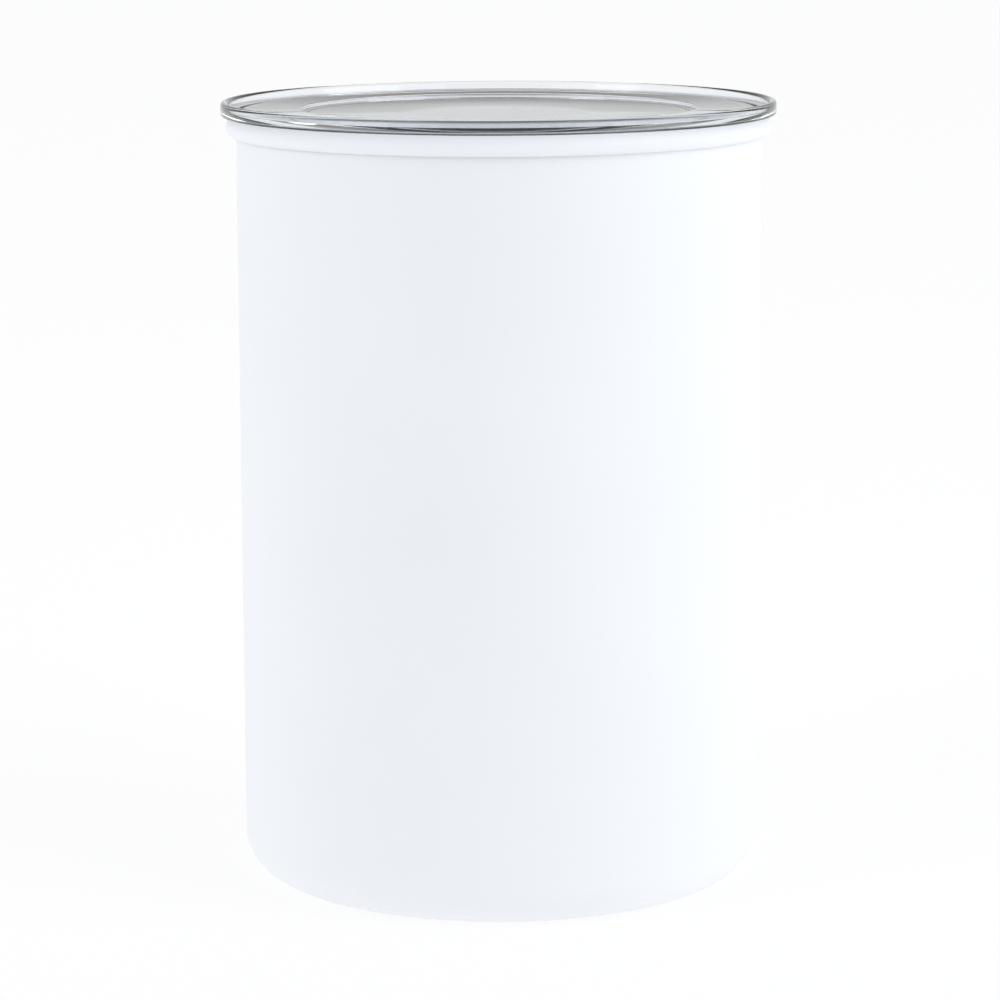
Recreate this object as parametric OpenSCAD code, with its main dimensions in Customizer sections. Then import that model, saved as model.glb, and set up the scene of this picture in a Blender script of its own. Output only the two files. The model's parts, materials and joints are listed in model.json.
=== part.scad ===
// Coffee canister: a drawn steel can, a push-down inner lid with a handle-worked valve, and a clear cover lid.
// Origin at the centre of the base, +Z up, the folded handle points to the front (-Y). Millimetres.

/* [Can] */
// Outer radius of the can's wall
can_r = 61; // [58:0.5:64]
// Height of the mouth, the top of the rolled bead
mouth_h = 179.6; // [170:0.2:200]
// Thickness of the steel
can_wall = 0.6; // [0.5:0.05:0.8]
// Outer radius of the bottom corner
corner_r = 10.5; // [8:0.5:12]
// Radius of the rolled bead's section
bead_r = 2.4; // [2:0.1:3]

/* [Cover lid] */
// How far the lip stands out past the bead
lid_overhang = 1.2; // [0.6:0.1:2]
// Height of the raised lip above the bead
lip_h = 3.4; // [2.8:0.1:4]
// Radial width of the raised lip
lip_w = 1.9; // [1.6:0.1:3]
// Thickness of the cover lid's plate
plate_t = 1.6; // [1.2:0.1:1.8]
// Radius of the stacking recess
recess_r = 46; // [40:1:48]
// Depth of the stacking recess
recess_d = 1; // [0.6:0.1:1.4]
// Length of the plug skirt below the mouth
skirt_h = 7; // [6:0.5:9]

/* [Inner lid] */
// Height of the press plate above the floor, as stored
press_z = 95; // [60:1:112]
// Height of the inner lid
inner_h = 28; // [28:0.5:30]
// Reach of the folded handle from its axle
handle_reach = 34; // [32:0.5:36]

/* [Valve] */
// How far the handle's cam opens the valve
valve_travel = 2.6; // [1.6:0.1:2.8]
// Radius of the valve's bore
bore_r = 6; // [5.5:0.1:6.2]
// Radius of the valve stem
stem_r = 2.5; // [2:0.1:2.6]

/* [Hidden] */

$fn = 180;
eps = 0.01;
// Gap between pieces that slide past each other, and radial play of a running fit
slide_gap = 0.3;
run_gap = 0.08;

// Can
bore_in = can_r - can_wall;
bead_z = mouth_h - bead_r;
bead_slit = 0.4;
mouth_round = can_wall + 0.1;

// Cover lid
rest_gap = 0.05;
lid_r = can_r + bead_r + lid_overhang;
lid_z = mouth_h + rest_gap;
lip_top = mouth_h + lip_h;
lip_in = lid_r - lip_w;
lip_round = 0.9;
edge_round = 0.7;
skirt_out = bore_in - 1.8;
skirt_t = 1.5;
skirt_z = mouth_h - skirt_h;
rib_t = 0.7;
rib_out = 0.7;
seal_h = 3;

// Inner lid, heights from the press plate's lower face
wall_out = bore_in - 2.8;
wall_t = 2.2;
flange_out = bore_in - 1.2;
floor_t = 2.4;
cover_split = 22;
cover_out = bore_in - 2;
cover_t = 2;
channel_z = 5;
channel_top = 18.4;
flange_t = 1.6;
axle_r = 2;
barrel_r = 3.8;
axle_z = inner_h - barrel_r;
axle_half = 30;
block_end = 32;
cam_r = 4.4;
cam_half = 4;
cam_rate = valve_travel / (PI / 2);
cap_top = axle_z - cam_r - slide_gap;
cap_r = 5.2;
cap_t = 1.6;
cap_socket = 0.8;

// Handle well in the cover
well_x = 27.2;
well_front = handle_reach + 4.2;
well_back = 9.2;
well_floor = 19.4;
well_shell = 1.8;
well_corner = 5;
notch_r = 11;
notch_y = handle_reach + 2;
notch_floor = 21;
notch_shell = 1.8;
cap_hole_r = 8.2;

// Handle
handle_half = 25.8;
arm_w = 6;
grip_w = 9;
arm_half_t = 3.4;
grip_round = 7;
slot_round = 3;

// Valve
pocket_r = 12.5;
pocket_h = 7.4;
boss_r = 16;
boss_t = 2;
seat_in = bore_r + 0.4;
seat_out = bore_r + 1.4;
seat_h = 0.6;
guard_h = 4.6;
guard_t = 1.8;
hub_r = 4.6;
hub_top = 11;
spoke_w = 1.6;
disc_r = 9.5;
disc_t = 1.8;
disc_gap = 0.1;
disc_top = pocket_h - seat_h - disc_gap;
foot_r = 5.5;
foot_t = 0.9;
foot_z = disc_top - disc_t - foot_t;
screen_r = 14.3;
screen_t = 0.5;
screen_hole = 0.9;
screen_rings = 4;

// Spring
wire_r = 0.35;
coil_r = 3.6;
coil_turns = 4;
ring_steps = 24;
wire_sides = 8;

// Screws
screw_x = 32.5;
screw_r = 1.5;
screw_clear = 1.6;
screw_head_r = 3.1;
screw_head_h = 2;
screw_end = 18;
sink_r = 3.5;
sink_h = 2.6;
post_r = 4;
post_split = 9;
post_hole_h = 11;

// Corner ring of a rotate_extrude outline: points on an arc round (x, y)
function arc(x, y, r, from, to, steps = 12) =
    [for (i = [0:steps]) let (a = from + (to - from) * i / steps) [x + r * cos(a), y + r * sin(a)]];

// Flat shape with rounded corners, from two opposite corners
module round_rect(x0, y0, x1, y1, r) {
    translate([x0 + r, y0]) square([x1 - x0 - 2 * r, y1 - y0]);
    translate([x0, y0 + r]) square([x1 - x0, y1 - y0 - 2 * r]);
    for (x = [x0 + r, x1 - r], y = [y0 + r, y1 - r]) translate([x, y]) circle(r, $fn = 48);
}

// Ring between two radii and two heights
module ring(r_in, r_out, z0, z1) {
    translate([0, 0, z0]) difference() {
        cylinder(r = r_out, h = z1 - z0);
        translate([0, 0, -eps]) cylinder(r = r_in, h = z1 - z0 + 2 * eps);
    }
}

// Drawn can with its mouth rolled outwards; the curl stays open by a slit under the bead
module canister_body() color("white") {
    inner_r = corner_r - can_wall;
    rotate_extrude() polygon(concat(
        [[0, 0]],
        arc(can_r - corner_r, corner_r, corner_r, -90, 0),
        [[can_r, mouth_h - mouth_round]],
        [[bore_in, mouth_h - mouth_round]],
        arc(bore_in - inner_r, corner_r, inner_r, 0, -90),
        [[0, can_wall]]));
    rotate_extrude() difference() {
        union() {
            translate([can_r, bead_z]) intersection() {
                circle(bead_r, $fn = 72);
                translate([0, -bead_r]) square([bead_r, 2 * bead_r]);
            }
            translate([bore_in, bead_z]) square([can_wall, bead_r - mouth_round]);
            translate([bore_in + mouth_round, mouth_h - mouth_round]) circle(mouth_round, $fn = 48);
        }
        translate([can_r, bead_z]) intersection() {
            circle(bead_r - can_wall, $fn = 72);
            translate([0, -bead_r]) square([bead_r, 2 * bead_r]);
        }
        translate([can_r, bead_z - bead_r - eps]) square([bead_slit, bead_r]);
    }
}

// Clear cover lid: lip, flat ring, stacking recess and plug skirt, one wall thick throughout
module outer_lid() color([0.8, 0.84, 0.9, 0.4]) {
    ring_top = lid_z + plate_t;
    rotate_extrude() polygon(concat(
        [[0, lid_z - recess_d], [recess_r + 0.4, lid_z - recess_d], [recess_r + 0.4, lid_z]],
        arc(lid_r - edge_round, lid_z + edge_round, edge_round, -90, 0, 8),
        arc(lid_r - lip_round, lip_top - lip_round, lip_round, 0, 90, 8),
        arc(lip_in + lip_round, lip_top - lip_round, lip_round, 90, 180, 8),
        [[lip_in, ring_top], [recess_r, ring_top], [recess_r, ring_top - recess_d], [0, ring_top - recess_d]]));
    ring(skirt_out - skirt_t, skirt_out, skirt_z, lid_z + eps);
    ring(skirt_out - eps, skirt_out + rib_out, skirt_z, skirt_z + rib_t);
    ring(skirt_out - eps, skirt_out + rib_out, skirt_z + rib_t + seal_h, skirt_z + 2 * rib_t + seal_h);
}

// Soft ring between the skirt's ribs, with one lip towards the can
module outer_lid_seal() color([0.9, 0.92, 0.94, 0.7]) {
    low = skirt_z + rib_t;
    rotate_extrude() polygon([[skirt_out, low], [skirt_out + 0.8, low], [skirt_out + 0.8, low + 0.9],
        [bore_in - slide_gap, low + 1.5], [bore_in - slide_gap, low + 1.9], [skirt_out + 0.8, low + 2.1],
        [skirt_out + 0.8, low + seal_h], [skirt_out, low + seal_h]]);
}

// Moves a piece from inner-lid heights to its place in the can
module in_can() {
    translate([0, 0, press_z]) children();
}

module at_screws() {
    for (x = [-screw_x, screw_x], y = [-screw_x, screw_x]) translate([x, y, 0]) children();
}

// Lower moulding: press plate, wall with the seal's flanges, valve pocket, seat and stem guide
module inner_lid_base() color([0.32, 0.34, 0.36]) in_can() {
    difference() {
        union() {
            rotate_extrude() polygon(concat(
                [[0, 0]],
                arc(wall_out - floor_t, floor_t, floor_t, -90, 0, 8),
                [[wall_out, channel_z - flange_t], [flange_out, channel_z - flange_t], [flange_out, channel_z],
                 [wall_out, channel_z], [wall_out, channel_top], [flange_out, channel_top],
                 [flange_out, channel_top + flange_t], [wall_out, channel_top + flange_t],
                 [wall_out, cover_split], [wall_out - wall_t, cover_split], [wall_out - wall_t, floor_t],
                 [0, floor_t]]));
            cylinder(r = boss_r, h = pocket_h + boss_t);
            cylinder(r = bore_r + 1.2 + guard_t, h = pocket_h + boss_t + guard_h);
            at_screws() cylinder(r = post_r, h = post_split, $fn = 48);
        }
        translate([0, 0, -eps]) cylinder(r = pocket_r, h = pocket_h + eps);
        translate([0, 0, -eps]) cylinder(r = screen_r, h = screen_t + eps);
        translate([0, 0, pocket_h - eps]) cylinder(r = bore_r, h = boss_t + 2 * eps);
        translate([0, 0, pocket_h + boss_t]) cylinder(r = bore_r + 1.2, h = guard_h + eps);
        at_screws() translate([0, 0, -eps]) cylinder(r = sink_r, h = sink_h + eps, $fn = 48);
        at_screws() cylinder(r = screw_clear, h = post_split + eps, $fn = 48);
    }
    ring(seat_in, seat_out, pocket_h - seat_h, pocket_h + eps);
    difference() {
        union() {
            translate([0, 0, pocket_h]) cylinder(r = hub_r, h = hub_top - pocket_h);
            for (a = [90:120:330]) rotate(a) translate([stem_r + 1, -spoke_w / 2, pocket_h])
                cube([bore_r - stem_r - 0.5, spoke_w, boss_t]);
        }
        translate([0, 0, pocket_h - eps]) cylinder(r = stem_r + run_gap, h = hub_top - pocket_h + 2 * eps);
    }
}

// Outline of the handle well, with the finger notch at its front
module well_outline(grow) {
    round_rect(-well_x - grow, -well_front - grow, well_x + grow, well_back + grow, well_corner);
}

// Upper moulding: top plate, skirt, handle well, axle blocks and screw posts
module inner_lid_cover() color([0.32, 0.34, 0.36]) in_can() {
    trim_r = cover_out - 4;
    difference() {
        union() {
            rotate_extrude() polygon(concat(
                [[0, inner_h - cover_t], [wall_out - wall_t, inner_h - cover_t], [wall_out - wall_t, cover_split],
                 [cover_out, cover_split]],
                arc(cover_out - cover_t, inner_h - cover_t + 0.8, cover_t, 0, 90, 8),
                [[trim_r, inner_h + 0.8], [trim_r, inner_h - 0.8], [0, inner_h - 0.8]]));
            ring(wall_out - wall_t - 1.8, wall_out - wall_t, cover_split - 4, inner_h - cover_t);
            translate([0, 0, well_floor - well_shell]) linear_extrude(inner_h - well_floor + well_shell)
                well_outline(well_shell);
            translate([0, -notch_y, notch_floor - notch_shell])
                cylinder(r = notch_r + notch_shell, h = inner_h - notch_floor + notch_shell);
            for (s = [-1, 1]) translate([s > 0 ? well_x : -block_end, -5, well_floor - well_shell])
                cube([block_end - well_x, 10, inner_h - cover_t - well_floor + well_shell + eps]);
            at_screws() translate([0, 0, post_split]) cylinder(r = post_r, h = inner_h - cover_t - post_split,
                $fn = 48);
        }
        translate([0, 0, well_floor]) linear_extrude(inner_h) well_outline(0);
        translate([0, -notch_y, notch_floor]) cylinder(r = notch_r, h = inner_h);
        translate([0, 0, well_floor - well_shell - eps]) cylinder(r = cap_hole_r, h = well_shell + 2 * eps);
        translate([-block_end - eps, 0, axle_z]) rotate([0, 90, 0])
            cylinder(r = axle_r + run_gap, h = 2 * block_end + 2 * eps, $fn = 48);
        at_screws() translate([0, 0, post_split - eps]) cylinder(r = screw_r, h = post_hole_h, $fn = 48);
    }
}

// Steel plate let into the cover's top, cut out round the handle well
module trim_plate() color([0.75, 0.76, 0.77]) in_can() {
    edge = well_shell + 0.4;
    translate([0, 0, inner_h - 0.8]) linear_extrude(0.8) difference() {
        circle(cover_out - 4.1);
        well_outline(edge);
        translate([0, -notch_y]) circle(notch_r + notch_shell + 0.4);
    }
}

// Silicone wiper: a band with two lips that stop just short of the can's wall
module wiper_seal() color([0.85, 0.87, 0.88]) in_can() {
    band = wall_out + 1.3;
    lip = bore_in - slide_gap;
    low = channel_z + 1.5;
    high = channel_top - 4;
    rotate_extrude() polygon([[wall_out, channel_z], [band, channel_z], [band, low], [lip, low + 1.6],
        [lip, low + 2.1], [band, low + 2.5], [band, high], [lip, high + 1.6], [lip, high + 2.1], [band, high + 2.5],
        [band, channel_top], [wall_out, channel_top]]);
}

// Handle's outline seen from above, folded flat
module handle_outline() {
    difference() {
        round_rect(-handle_half, -handle_reach, handle_half, barrel_r, grip_round / 2 + 0.2);
        round_rect(-handle_half + arm_w, -handle_reach + grip_w, handle_half - arm_w, -barrel_r - 0.4, slot_round);
        translate([-handle_half - eps, 0]) square([2 * handle_half + 2 * eps, barrel_r + eps]);
    }
}

// Cam outline across the axle: its support grows evenly with the handle's angle, so the cap moves evenly
module cam_outline() {
    lobe = [for (a = [0:6:90]) let (h = cam_r + cam_rate * a * PI / 180)
        [h * sin(a) + cam_rate * cos(a), -h * cos(a) + cam_rate * sin(a)]];
    polygon(concat([[-1, -cam_r]], lobe, [[cam_r, barrel_r * 0.8], [0, barrel_r * 0.9], [-barrel_r * 0.9, 0]]));
}

// Folding handle in one moulding: arms, grip, barrel and the valve's cam
module lid_handle() color([0.32, 0.34, 0.36]) in_can() translate([0, 0, axle_z]) difference() {
    union() {
        translate([0, 0, -arm_half_t]) linear_extrude(2 * arm_half_t) handle_outline();
        translate([-handle_half, 0, 0]) rotate([0, 90, 0]) cylinder(r = barrel_r, h = 2 * handle_half, $fn = 72);
        translate([-cam_half, 0, 0]) rotate([90, 0, 90]) linear_extrude(2 * cam_half) cam_outline();
    }
    translate([-handle_half - eps, 0, 0]) rotate([0, 90, 0])
        cylinder(r = axle_r, h = 2 * handle_half + 2 * eps, $fn = 48);
}

module handle_axle() color("silver") in_can() translate([-axle_half, 0, axle_z]) rotate([0, 90, 0])
    cylinder(r = axle_r, h = 2 * axle_half, $fn = 48);

// Head on the stem that the cam presses and the spring lifts
module stem_cap() color([0.85, 0.85, 0.82]) in_can() translate([0, 0, cap_top - cap_t]) difference() {
    cylinder(r = cap_r, h = cap_t);
    translate([0, 0, -eps]) cylinder(r = stem_r, h = cap_socket + eps);
}

module valve_stem() color([0.85, 0.85, 0.82]) in_can() {
    translate([0, 0, foot_z]) cylinder(r = foot_r, h = foot_t);
    translate([0, 0, foot_z]) cylinder(r = stem_r, h = cap_top - cap_t + cap_socket - foot_z);
}

module valve_disc() color([0.8, 0.3, 0.25]) in_can() ring(stem_r, disc_r, disc_top - disc_t, disc_top);

// Round wire along a helix: one closed tube, its rings in planes through the axis
spring_low = hub_top + wire_r;
spring_high = cap_top - cap_t - wire_r;
function wire_mid(t) = [coil_r * cos(360 * t), coil_r * sin(360 * t),
    spring_low + (spring_high - spring_low) * t / coil_turns];
function wire_point(t, a) = let (m = wire_mid(t), r = coil_r + wire_r * cos(a))
    [r * cos(360 * t), r * sin(360 * t), m[2] + wire_r * sin(a)];

module valve_spring() color("silver") in_can() {
    rings = coil_turns * ring_steps;
    points = [for (i = [0:rings], k = [0:wire_sides - 1]) wire_point(i / ring_steps, 360 * k / wire_sides)];
    sides = [for (i = [0:rings - 1], k = [0:wire_sides - 1])
        let (n = (k + 1) % wire_sides, b = i * wire_sides, c = b + wire_sides) [b + k, b + n, c + n, c + k]];
    start = [for (k = [wire_sides - 1:-1:0]) k];
    end = [for (k = [0:wire_sides - 1]) rings * wire_sides + k];
    polyhedron(points = points, faces = concat([start], sides, [end]));
}

// Perforated strainer that keeps grounds out of the valve
module valve_screen() color("silver") in_can() difference() {
    cylinder(r = screen_r, h = screen_t);
    for (n = [1:screen_rings], i = [0:6 * n - 1]) rotate(i * 60 / n) translate([n * pocket_r / 5, 0, -eps])
        cylinder(r = screen_hole, h = screen_t + 2 * eps, $fn = 24);
}

// Pan head screws from below, with a crossed drive slot
module cover_screws() color("silver") in_can() at_screws() difference() {
    union() {
        translate([0, 0, sink_h - screw_head_h]) cylinder(r = screw_head_r, h = screw_head_h, $fn = 48);
        translate([0, 0, sink_h - eps]) cylinder(r = screw_r, h = screw_end - sink_h, $fn = 48);
    }
    for (a = [0, 90]) rotate(a) translate([-2, -0.4, sink_h - screw_head_h - eps]) cube([4, 0.8, 1.2]);
}

canister_body();
outer_lid();
outer_lid_seal();
inner_lid_base();
inner_lid_cover();
trim_plate();
wiper_seal();
lid_handle();
handle_axle();
stem_cap();
valve_stem();
valve_disc();
valve_spring();
valve_screen();
cover_screws();
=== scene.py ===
# Coffee canister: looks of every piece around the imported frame. Metres, +Z up, the handle's grip at the front.
import json
import math
import bpy
from mathutils import Matrix, Vector


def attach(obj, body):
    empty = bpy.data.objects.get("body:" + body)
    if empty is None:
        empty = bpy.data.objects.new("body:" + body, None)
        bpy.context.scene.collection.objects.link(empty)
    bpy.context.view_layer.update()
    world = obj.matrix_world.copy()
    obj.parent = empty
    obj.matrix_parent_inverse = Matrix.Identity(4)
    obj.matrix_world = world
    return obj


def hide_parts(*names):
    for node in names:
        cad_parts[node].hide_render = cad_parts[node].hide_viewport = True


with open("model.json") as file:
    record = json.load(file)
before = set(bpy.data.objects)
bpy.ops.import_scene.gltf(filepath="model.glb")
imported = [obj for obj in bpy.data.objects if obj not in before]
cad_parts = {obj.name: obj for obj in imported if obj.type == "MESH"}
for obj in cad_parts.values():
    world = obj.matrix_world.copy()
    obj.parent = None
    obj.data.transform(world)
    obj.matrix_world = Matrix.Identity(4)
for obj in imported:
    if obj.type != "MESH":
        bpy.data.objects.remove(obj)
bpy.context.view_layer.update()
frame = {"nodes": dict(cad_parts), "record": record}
mm = 0.001
tiny = 1e-6
print("stage: frame loaded")


# A shader socket that does arithmetic
class Value:
    def __init__(self, graph, socket):
        self.graph = graph
        self.socket = socket

    def math(self, operation, *others, swap=False):
        inputs = [self] + list(others)
        if swap:
            inputs.reverse()
        return self.graph.node("ShaderNodeMath", {"operation": operation}, dict(enumerate(inputs)))[0]

    def __add__(self, other):
        return self.math("ADD", other)

    def __sub__(self, other):
        return self.math("SUBTRACT", other)

    def __mul__(self, other):
        return self.math("MULTIPLY", other)

    def __truediv__(self, other):
        return self.math("DIVIDE", other)

    def __rsub__(self, other):
        return self.math("SUBTRACT", other, swap=True)

    def __rtruediv__(self, other):
        return self.math("DIVIDE", other, swap=True)

    def __pow__(self, other):
        return self.math("POWER", other)

    __radd__ = __add__
    __rmul__ = __mul__


# One node's outputs, by number or name
class Outputs:
    def __init__(self, graph, node):
        self.graph = graph
        self.node = node

    def __getitem__(self, key):
        return Value(self.graph, self.node.outputs[key])


# A material's node tree: makes nodes, fills their sockets and links them
class Graph:
    def __init__(self, tree):
        self.tree = tree
        self.tree.nodes.clear()

    def node(self, kind, settings=None, inputs=None):
        made = self.tree.nodes.new(kind)
        for name, setting in (settings or {}).items():
            setattr(made, name, setting)
        for key, value in (inputs or {}).items():
            self.fill(made.inputs[key], value)
        return Outputs(self, made)

    def fill(self, socket, value):
        if isinstance(value, Value):
            self.tree.links.new(value.socket, socket)
        else:
            socket.default_value = value

    # Object coordinates
    def place(self):
        return self.node("ShaderNodeTexCoord")["Object"]

    def parts(self, point):
        split = self.node("ShaderNodeSeparateXYZ", inputs={0: point})
        return split[0], split[1], split[2]

    def vector(self, x, y, z):
        return self.node("ShaderNodeCombineXYZ", inputs={0: x, 1: y, 2: z})[0]

    def noise(self, point, scale, detail=3.0, roughness=0.5):
        return self.node("ShaderNodeTexNoise", inputs={
            "Vector": point, "Scale": scale, "Detail": detail, "Roughness": roughness})["Fac"]

    # Spreads a noise round its middle: low and high are the ends of the result
    def between(self, value, low, high):
        return self.node("ShaderNodeMapRange", inputs={
            "Value": value, "From Min": 0.3, "From Max": 0.7, "To Min": low, "To Max": high})["Result"]

    def blend(self, factor, first, second):
        mix = self.node("ShaderNodeMix", {"data_type": "RGBA"})
        self.fill(mix.node.inputs[0], factor)
        self.fill(mix.node.inputs[6], first)
        self.fill(mix.node.inputs[7], second)
        return mix[2]

    # A noise that leads from one colour to another
    def mottle(self, value, first, second):
        return self.blend(self.between(value, 0.0, 1.0), rgba(first), rgba(second))

    def bump(self, height, distance, strength):
        return self.node("ShaderNodeBump", inputs={
            "Height": height, "Distance": distance, "Strength": strength})["Normal"]

    def surface(self, inputs):
        shader = self.node("ShaderNodeBsdfPrincipled", inputs=inputs)[0]
        self.node("ShaderNodeOutputMaterial", inputs={"Surface": shader})


def newMaterial(name):
    material = bpy.data.materials.new(name)
    material.use_nodes = True
    return material, Graph(material.node_tree)


def rgba(color):
    return (color[0], color[1], color[2], 1.0)


# Powder coat: near white, fine orange peel, a soft broad sheen
coatSet = {"pale": (0.9, 0.922, 0.962), "deep": (0.885, 0.909, 0.952), "rough": (0.46, 0.56),
           "sheen": 0.45, "peel": 1400.0, "cloud": 22.0, "height": 0.00006, "bump": 0.35}


def powderCoat():
    s = coatSet
    material, graph = newMaterial("powderCoat")
    point = graph.place()
    cloud = graph.noise(point, s["cloud"], 2.0)
    peel = graph.noise(point, s["peel"], 3.0)
    graph.surface({
        "Base Color": graph.mottle(cloud, s["pale"], s["deep"]),
        "Roughness": graph.between(peel, *s["rough"]),
        "Specular IOR Level": s["sheen"],
        "Normal": graph.bump(peel, s["height"], s["bump"])})
    return material


# Bare steel, its colour, gloss and relief all led by one pattern
def steel(name, pattern, s):
    material, graph = newMaterial(name)
    lines = pattern(graph, graph.place(), s)
    graph.surface({
        "Base Color": graph.mottle(lines, s["deep"], s["pale"]),
        "Roughness": graph.between(lines, *s["rough"]),
        "Metallic": 1.0,
        "Normal": graph.bump(lines, s["height"], s["bump"])})
    return material


# Brush lines round the axis, for the can's inside; its colours are darker than the plate steel's, painted shade
# for the inside of the closed can
boreSteelAndShadeSet = {"pale": (0.5, 0.51, 0.53), "deep": (0.4, 0.41, 0.43), "rough": (0.26, 0.42), "lines": 2600.0,
           "along": 1.3, "clumps": 0.6, "height": 0.00003, "bump": 0.25, "axisGuard": 1e-8}


def roundLines(graph, point, s):
    x, y, z = graph.parts(point)
    radius = (x * x + y * y + s["axisGuard"]) ** 0.5
    stretched = graph.vector(x / radius * s["along"], y / radius * s["along"], (z + radius) * s["lines"])
    return graph.noise(stretched, 1.0, 4.0, s["clumps"])


# Straight brush lines along X, for the trim plate and small turned parts
plateSet = {"pale": (0.66, 0.67, 0.69), "deep": (0.52, 0.53, 0.55), "rough": (0.24, 0.38), "across": 2400.0,
            "along": 26.0, "clumps": 0.6, "height": 0.00003, "bump": 0.25}


def straightLines(graph, point, s):
    x, y, z = graph.parts(point)
    stretched = graph.vector(x * s["along"], y * s["across"], z * s["across"])
    return graph.noise(stretched, 1.0, 4.0, s["clumps"])


# Bright drawn wire and plated screws
wireSet = {"pale": (0.68, 0.68, 0.69), "deep": (0.55, 0.55, 0.57), "rough": (0.16, 0.3), "grain": 900.0,
           "height": 0.00002, "bump": 0.2}


def drawnGrain(graph, point, s):
    return graph.noise(point, s["grain"], 4.0)


# Clear rigid plastic with the faint blue grey that shows in its thick edges
clearSet = {"pale": (0.93, 0.95, 0.975), "deep": (0.9, 0.93, 0.965), "rough": (0.0, 0.02), "flow": 14.0,
            "index": 1.49, "passed": (0.93, 0.94, 0.95), "height": 0.00005, "bump": 0.05}


# Shadow and diffuse rays pass straight through, so the lid doesn't darken what lies under it
def clearPlastic():
    s = clearSet
    material, graph = newMaterial("clearPlastic")
    flow = graph.noise(graph.place(), s["flow"], 2.0)
    body = graph.node("ShaderNodeBsdfPrincipled", inputs={
        "Base Color": graph.mottle(flow, s["pale"], s["deep"]),
        "Roughness": graph.between(flow, *s["rough"]),
        "Transmission Weight": 1.0,
        "IOR": s["index"],
        "Normal": graph.bump(flow, s["height"], s["bump"])})[0]
    passed = graph.node("ShaderNodeBsdfTransparent", inputs={"Color": rgba(s["passed"])})[0]
    path = graph.node("ShaderNodeLightPath")
    lit = path["Is Shadow Ray"].math("MAXIMUM", path["Is Diffuse Ray"])
    both = graph.node("ShaderNodeMixShader", inputs={0: lit, 1: body, 2: passed})[0]
    graph.node("ShaderNodeOutputMaterial", inputs={"Surface": both})
    return material


# Grained mouldings and soft rubbers share one recipe: colours, gloss, grain, relief and softness
mouldSet = {
    "dark_plastic": {"pale": (0.058, 0.062, 0.07), "deep": (0.048, 0.051, 0.058), "rough": (0.42, 0.58),
                     "grain": 1300.0, "height": 0.00008, "soft": 0.0},
    "pale_plastic": {"pale": (0.66, 0.66, 0.62), "deep": (0.6, 0.6, 0.56), "rough": (0.3, 0.45),
                     "grain": 900.0, "height": 0.00005, "soft": 0.0},
    "white_silicone": {"pale": (0.72, 0.74, 0.76), "deep": (0.66, 0.68, 0.71), "rough": (0.48, 0.62),
                       "grain": 1100.0, "height": 0.00004, "soft": 0.25},
    "grey_silicone": {"pale": (0.13, 0.14, 0.165), "deep": (0.11, 0.12, 0.145), "rough": (0.35, 0.5),
                      "grain": 1100.0, "height": 0.00004, "soft": 0.1},
    "red_silicone": {"pale": (0.42, 0.045, 0.03), "deep": (0.36, 0.035, 0.025), "rough": (0.48, 0.62),
                     "grain": 1100.0, "height": 0.00004, "soft": 0.1},
}
mouldShared = {"coarser": 30.0, "depth": 0.002, "bump": 0.4}


def moulded(name, s):
    material, graph = newMaterial(name)
    point = graph.place()
    fine = graph.noise(point, s["grain"], 3.0)
    broad = graph.noise(point, s["grain"] / mouldShared["coarser"], 2.0)
    graph.surface({
        "Base Color": graph.mottle(broad, s["pale"], s["deep"]),
        "Roughness": graph.between(fine, *s["rough"]),
        "Subsurface Weight": s["soft"],
        "Subsurface Scale": mouldShared["depth"],
        "Normal": graph.bump(fine, s["height"], mouldShared["bump"])})
    return material


materials = {slot: moulded(slot, recipe) for slot, recipe in mouldSet.items()}
materials["powder_coated_steel"] = powderCoat()
materials["clear_plastic"] = clearPlastic()
materials["brushed_steel"] = steel("plateSteel", straightLines, plateSet)
materials["spring_steel"] = steel("springSteel", drawnGrain, wireSet)
# The can's inside steel, its colour darkened as painted shade for the closed can's inside
shadedInsideSteel = steel("boreSteelShaded", roundLines, boreSteelAndShadeSet)
print("stage: materials made")


def dress(piece, material):
    piece.data.materials.clear()
    piece.data.materials.append(material)


slotOf = {entry["node"]: entry["material_slot"] for entry in frame["record"]["subparts"]}
for nodeName, cadPiece in frame["nodes"].items():
    dress(cadPiece, materials[slotOf[nodeName]])


# Points of an arc in the profile plane, angles in degrees
def arc(x, z, radius, start, end, steps=10):
    angles = [math.radians(start + (end - start) * i / steps) for i in range(steps + 1)]
    return [(x + radius * math.cos(a), z + radius * math.sin(a)) for a in angles]


def plane(name, size):
    bpy.ops.object.select_all(action="DESELECT")
    bpy.ops.mesh.primitive_plane_add(size=size, location=(0, 0, 0))
    piece = bpy.context.active_object
    piece.name = name
    return piece


# Draws a profile in millimetres point by point and spins it round the axis
def lathe(name, profile, steps=256, closed=False, crease=35):
    piece = plane(name, 0.01)
    bpy.ops.object.mode_set(mode="EDIT")
    bpy.ops.mesh.select_all(action="SELECT")
    bpy.ops.mesh.merge(type="CENTER")
    last = (0.0, 0.0)
    points = profile + profile[:1] if closed else profile
    for number, (x, z) in enumerate(points):
        step = ((x - last[0]) * mm, 0.0, (z - last[1]) * mm)
        if number == 0:
            bpy.ops.transform.translate(value=step)
        else:
            bpy.ops.mesh.extrude_region_move(TRANSFORM_OT_translate={"value": step})
        last = (x, z)
    bpy.ops.mesh.select_all(action="SELECT")
    bpy.ops.mesh.remove_doubles(threshold=tiny)
    bpy.ops.mesh.select_all(action="SELECT")
    bpy.ops.mesh.spin(steps=steps, angle=2 * math.pi, center=(0, 0, 0), axis=(0, 0, 1))
    bpy.ops.mesh.select_all(action="SELECT")
    bpy.ops.mesh.remove_doubles(threshold=2 * tiny)
    bpy.ops.mesh.normals_make_consistent(inside=False)
    bpy.ops.object.mode_set(mode="OBJECT")
    bpy.ops.object.shade_smooth_by_angle(angle=math.radians(crease))
    return piece


def finishPiece(piece, node):
    dress(piece, materials[slotOf[node]])
    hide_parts(node)
    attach(piece, next(body for body, nodes in frame["record"]["behaviour"]["bodies"].items() if node in nodes))
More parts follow.
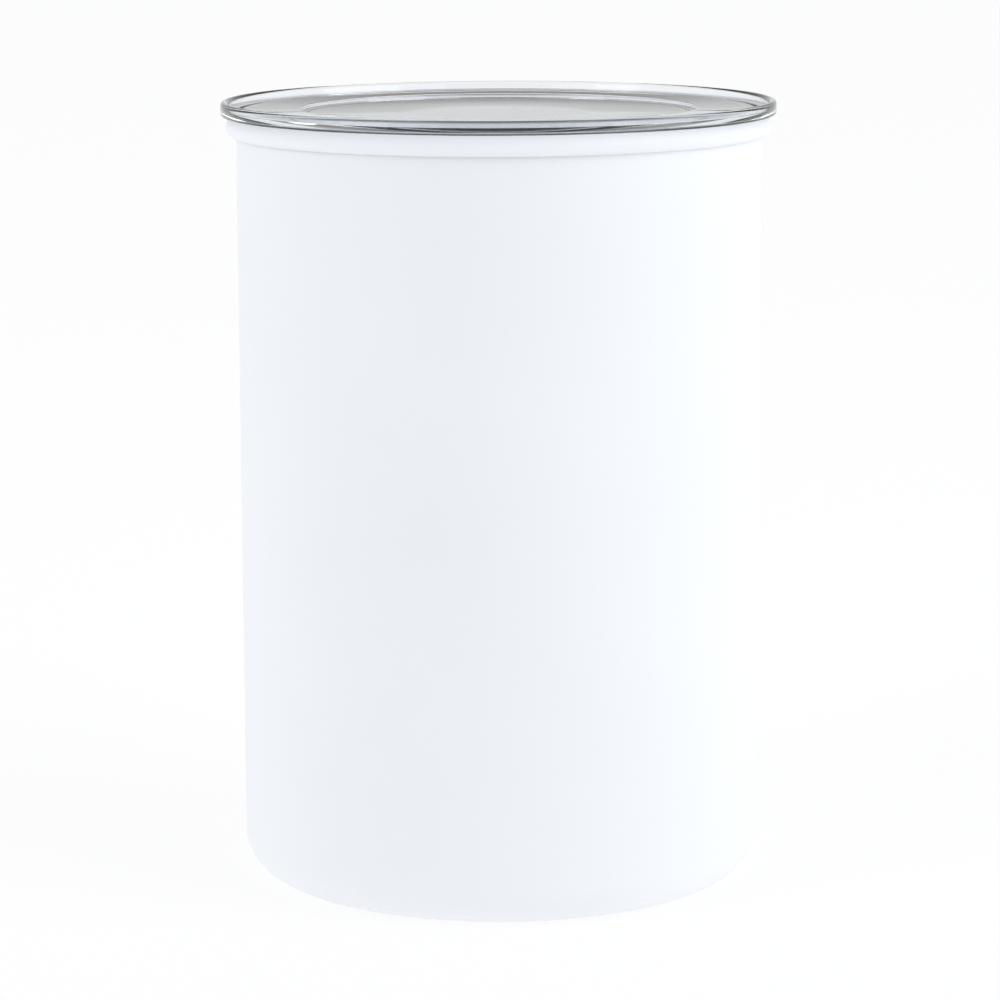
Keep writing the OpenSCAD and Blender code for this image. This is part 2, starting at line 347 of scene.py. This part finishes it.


# The can: drawn steel, its mouth curled outwards, powder coat outside and bare steel inside, the inside steel
# darkened as painted shade.
# The heights only split the long walls.
canSet = {"radius": 61.0, "wall": 0.6, "mouth": 179.6, "corner": 10.5, "bead": 2.4, "slit": 0.4, "round": 0.7,
          "outerHeights": (60.0, 110.0, 160.0), "innerHeights": (140.0, 90.0, 40.0), "floorTilt": 0.2}


def buildCan():
    s = canSet
    inside = s["radius"] - s["wall"]
    beadZ = s["mouth"] - s["bead"]
    hollow = s["bead"] - s["wall"]
    flat = s["radius"] - s["corner"]
    outerEnd = -math.degrees(math.acos(s["slit"] / s["bead"]))
    innerEnd = -math.degrees(math.acos(s["slit"] / hollow))
    profile = [(0.0, 0.0), (flat / 2, 0.0)]
    profile += arc(flat, s["corner"], s["corner"], -90, 0, 20)
    profile += [(s["radius"], z) for z in s["outerHeights"]]
    profile += arc(s["radius"], beadZ, hollow, 90, innerEnd, 20)
    profile += arc(s["radius"], beadZ, s["bead"], outerEnd, 90, 28)
    profile += arc(inside + s["round"], s["mouth"] - s["round"], s["round"], 90, 180, 8)[1:]
    profile += [(inside, z) for z in s["innerHeights"]]
    profile += arc(flat, s["corner"], s["corner"] - s["wall"], 0, -90, 20)
    profile += [(flat / 2, s["wall"]), (0.0, s["wall"])]
    can = lathe("canShell", profile)
    finishPiece(can, "canister_body")
    # Inside and floor faces take the darker steel: painted shade for the can's inside
    can.data.materials.append(shadedInsideSteel)
    for face in can.data.polygons:
        inward = face.normal.x * face.center.x + face.normal.y * face.center.y < -tiny
        onBead = face.center.z > (beadZ - s["bead"]) * mm and face.center.xy.length > s["radius"] * mm
        onFloor = face.normal.z > s["floorTilt"] and face.center.z < s["corner"] * mm
        nearMouth = face.center.z > (s["mouth"] - s["round"]) * mm
        if (inward or onFloor) and not onBead and not nearMouth:
            face.material_index = 1


buildCan()

# The clear cover lid: lip, flat ring, stacking recess and plug skirt
lidSet = {"radius": 64.6, "low": 179.65, "top": 183.0, "lip": 1.9, "lipRound": 0.9, "edgeRound": 0.7,
          "plate": 1.6, "recess": 46.0, "recessWall": 0.4, "depth": 1.0, "middle": 20.0, "skirtOut": 58.6,
          "skirtWall": 1.5, "skirtLow": 172.6, "rib": 0.7, "seal": 3.0, "fillet": 0.25}


def buildLid():
    s = lidSet
    ringTop = s["low"] + s["plate"]
    under = s["low"] - s["depth"]
    recessOut = s["recess"] + s["recessWall"]
    skirtIn = s["skirtOut"] - s["skirtWall"]
    ribOut = s["skirtOut"] + s["rib"]
    grooveLow = s["skirtLow"] + s["rib"]
    grooveTop = grooveLow + s["seal"]
    lipIn = s["radius"] - s["lip"]
    lipZ = s["top"] - s["lipRound"]
    f = s["fillet"]
    profile = [(0.0, under), (s["middle"], under), (recessOut, under), (recessOut, s["low"]),
               (skirtIn, s["low"]), (skirtIn, s["skirtLow"]), (ribOut, s["skirtLow"]), (ribOut, grooveLow),
               (s["skirtOut"], grooveLow), (s["skirtOut"], grooveTop), (ribOut, grooveTop),
               (ribOut, grooveTop + s["rib"]), (s["skirtOut"], grooveTop + s["rib"]), (s["skirtOut"], s["low"])]
    profile += arc(s["radius"] - s["edgeRound"], s["low"] + s["edgeRound"], s["edgeRound"], -90, 0, 8)
    profile += arc(s["radius"] - s["lipRound"], lipZ, s["lipRound"], 0, 90, 10)
    profile += arc(lipIn + s["lipRound"], lipZ, s["lipRound"], 90, 180, 10)
    profile += arc(lipIn - f, ringTop + f, f, 0, -90, 4)
    profile += arc(s["recess"] + f, ringTop - f, f, 90, 180, 4)
    profile += arc(s["recess"] - f, ringTop - s["depth"] + f, f, 0, -90, 4)
    profile += [(s["middle"], ringTop - s["depth"]), (0.0, ringTop - s["depth"])]
    lid = lathe("coverLid", profile, crease=30)
    finishPiece(lid, "outer_lid")


buildLid()

# The cover lid's soft ring, its lip rounded
ringSet = {"inner": 58.6, "band": 0.8, "reach": 60.1, "low": 173.3, "height": 3.0, "lipZ": 1.7,
           "lipFoot": 0.9, "lipBack": 0.45, "lipRound": 0.2, "lipArc": (-60, 75), "steps": 192}


def buildLidRing():
    s = ringSet
    band = s["inner"] + s["band"]
    lip = s["low"] + s["lipZ"]
    profile = [(s["inner"], s["low"]), (band, s["low"]), (band, s["low"] + s["lipFoot"])]
    profile += arc(s["reach"] - s["lipRound"], lip, s["lipRound"], *s["lipArc"], 6)
    profile += [(band, lip + s["lipBack"]), (band, s["low"] + s["height"]), (s["inner"], s["low"] + s["height"])]
    ring = lathe("coverSeal", profile, steps=s["steps"], closed=True)
    finishPiece(ring, "outer_lid_seal")


buildLidRing()

# The wiper: a band with two rounded lips
wiperSet = {"inner": 57.6, "band": 1.3, "reach": 60.1, "low": 100.0, "top": 113.4, "lips": (103.35, 111.25),
            "lipFoot": 1.7, "lipBack": 0.6, "lipRound": 0.24, "lipArc": (-50, 70), "steps": 192}


def buildWiper():
    s = wiperSet
    band = s["inner"] + s["band"]
    profile = [(s["inner"], s["low"]), (band, s["low"])]
    for lip in s["lips"]:
        profile += [(band, lip - s["lipFoot"])]
        profile += arc(s["reach"] - s["lipRound"], lip, s["lipRound"], *s["lipArc"], 6)
        profile += [(band, lip + s["lipBack"])]
    profile += [(band, s["top"]), (s["inner"], s["top"])]
    wiper = lathe("wiperBand", profile, steps=s["steps"], closed=True)
    finishPiece(wiper, "wiper_seal")


buildWiper()

# The folding handle: copied from its solid, its corners joined again and rounded off
handleSet = {"width": 0.7, "segments": 3, "limit": 40, "flat": 1}


def buildHandle():
    s = handleSet
    bpy.ops.object.select_all(action="DESELECT")
    solid = frame["nodes"]["lid_handle"]
    solid.select_set(True)
    bpy.context.view_layer.objects.active = solid
    bpy.ops.object.duplicate()
    piece = bpy.context.active_object
    piece.name = "foldingHandle"
    for key in list(piece.keys()):
        del piece[key]
    world = piece.matrix_world.copy()
    piece.parent = None
    piece.matrix_world = world
    bpy.ops.object.mode_set(mode="EDIT")
    bpy.ops.mesh.select_all(action="SELECT")
    bpy.ops.mesh.remove_doubles(threshold=tiny)
    bpy.ops.mesh.dissolve_limited(angle_limit=math.radians(s["flat"]))
    bpy.ops.mesh.normals_make_consistent(inside=False)
    bpy.ops.object.mode_set(mode="OBJECT")
    bpy.ops.object.modifier_add(type="BEVEL")
    bevel = piece.modifiers[-1]
    bevel.width = s["width"] * mm
    bevel.segments = s["segments"]
    bevel.limit_method = "ANGLE"
    bevel.angle_limit = math.radians(s["limit"])
    bpy.ops.object.modifier_apply(modifier=bevel.name)
    bpy.ops.object.shade_smooth_by_angle(angle=math.radians(s["limit"]))
    finishPiece(piece, "lid_handle")


buildHandle()
print("stage: pieces modelled")

# Floor: white, a part of its light its own, so the contact shadow stays faint
floorSet = {"size": 30.0, "color": (0.93, 0.935, 0.94), "grain": 900.0, "rough": (0.4, 0.6), "glow": 0.8,
            "light": (1, 1, 1), "strength": 1.02}


def buildFloor():
    s = floorSet
    floor = plane("studioFloor", s["size"])
    material, graph = newMaterial("floorPaper")
    grain = graph.noise(graph.place(), s["grain"], 2.0)
    paper = graph.node("ShaderNodeBsdfDiffuse", inputs={
        "Color": rgba(s["color"]), "Roughness": graph.between(grain, *s["rough"])})[0]
    glow = graph.node("ShaderNodeEmission", inputs={"Color": rgba(s["light"]), "Strength": s["strength"]})[0]
    both = graph.node("ShaderNodeMixShader", inputs={0: s["glow"], 1: paper, 2: glow})[0]
    graph.node("ShaderNodeOutputMaterial", inputs={"Surface": both})
    dress(floor, material)


buildFloor()

# Dark card behind the camera: it draws the dark edges of the clear lid and cools the front of the can
cardSet = {"size": (1.5, 1.3), "place": (0.0, -1.7, 0.55), "color": (0.02, 0.024, 0.03), "rough": 0.9}


def buildCard():
    s = cardSet
    card = plane("darkCard", 1.0)
    card.matrix_world = (Matrix.Translation(s["place"]) @ Matrix.Rotation(math.radians(90), 4, "X")
                         @ Matrix.Diagonal((*s["size"], 1, 1)))
    material, graph = newMaterial("cardBlack")
    graph.surface({"Base Color": rgba(s["color"]), "Roughness": s["rough"]})
    dress(card, material)
    card.visible_camera = False


buildCard()

# Softboxes: a large one on the right, a smaller one on the left, both turned to the can's middle
lightSet = {
    "rightBox": {"place": (1.3, -0.6, 0.6), "size": (1.1, 1.5), "power": 8.0},
    "leftBox": {"place": (-1.15, -0.8, 0.6), "size": (0.6, 1.4), "power": 3.6},
}
lightTarget = (0, 0, 0.1)


def buildLights():
    for name, s in lightSet.items():
        data = bpy.data.lights.new(name, "AREA")
        data.shape = "RECTANGLE"
        data.size, data.size_y = s["size"]
        data.energy = s["power"]
        light = bpy.data.objects.new(name, data)
        bpy.context.scene.collection.objects.link(light)
        light.location = s["place"]
        aim = Vector(lightTarget) - light.location
        light.rotation_euler = aim.to_track_quat("-Z", "Y").to_euler()


buildLights()

# Surroundings: plain white to the eye, white low down and dim overhead to mirrors and through glass, as a
# studio with a bare ceiling is, and an even fill for everything else
worldSet = {"fill": 0.84, "low": 0.88, "high": 0.22, "rise": (0.12, 0.55), "color": (0.985, 0.993, 1.0)}


def buildWorld():
    s = worldSet
    world = bpy.data.worlds.new("studio")
    bpy.context.scene.world = world
    world.use_nodes = True
    graph = Graph(world.node_tree)
    path = graph.node("ShaderNodeLightPath")
    height = graph.parts(graph.node("ShaderNodeTexCoord")["Generated"])[2]
    mirrored = graph.node("ShaderNodeMapRange", inputs={
        "Value": height, "From Min": s["rise"][0], "From Max": s["rise"][1],
        "To Min": s["low"], "To Max": s["high"]})["Result"]
    sharp = path["Is Glossy Ray"].math("MAXIMUM", path["Is Transmission Ray"])
    seen = path["Is Camera Ray"]
    around = sharp * mirrored + (1.0 - sharp) * s["fill"]
    strength = seen + (1.0 - seen) * around
    sky = graph.node("ShaderNodeBackground", inputs={"Color": rgba(s["color"]), "Strength": strength})[0]
    graph.node("ShaderNodeOutputWorld", inputs={"Surface": sky})


buildWorld()

# Camera: long lens a little above the lid, turned by a fraction of a degree as the photo is
cameraSet = {"distance": 0.922, "height": 0.249, "pitch": 9.88, "roll": -0.225, "focalPixels": 3955.0,
             "imagePixels": 1000.0, "sensor": 36.0, "clip": 100.0}


def buildCamera():
    s = cameraSet
    data = bpy.data.cameras.new("photoCamera")
    data.sensor_width = s["sensor"]
    data.lens = s["sensor"] * s["focalPixels"] / s["imagePixels"]
    data.clip_end = s["clip"]
    camera = bpy.data.objects.new("photoCamera", data)
    bpy.context.scene.collection.objects.link(camera)
    camera.matrix_world = (Matrix.Translation((0, -s["distance"], s["height"]))
                           @ Matrix.Rotation(math.radians(90 - s["pitch"]), 4, "X")
                           @ Matrix.Rotation(math.radians(s["roll"]), 4, "Z"))
    bpy.context.scene.camera = camera


buildCamera()
bpy.context.scene.view_settings.view_transform = "Standard"
print("stage: studio set")
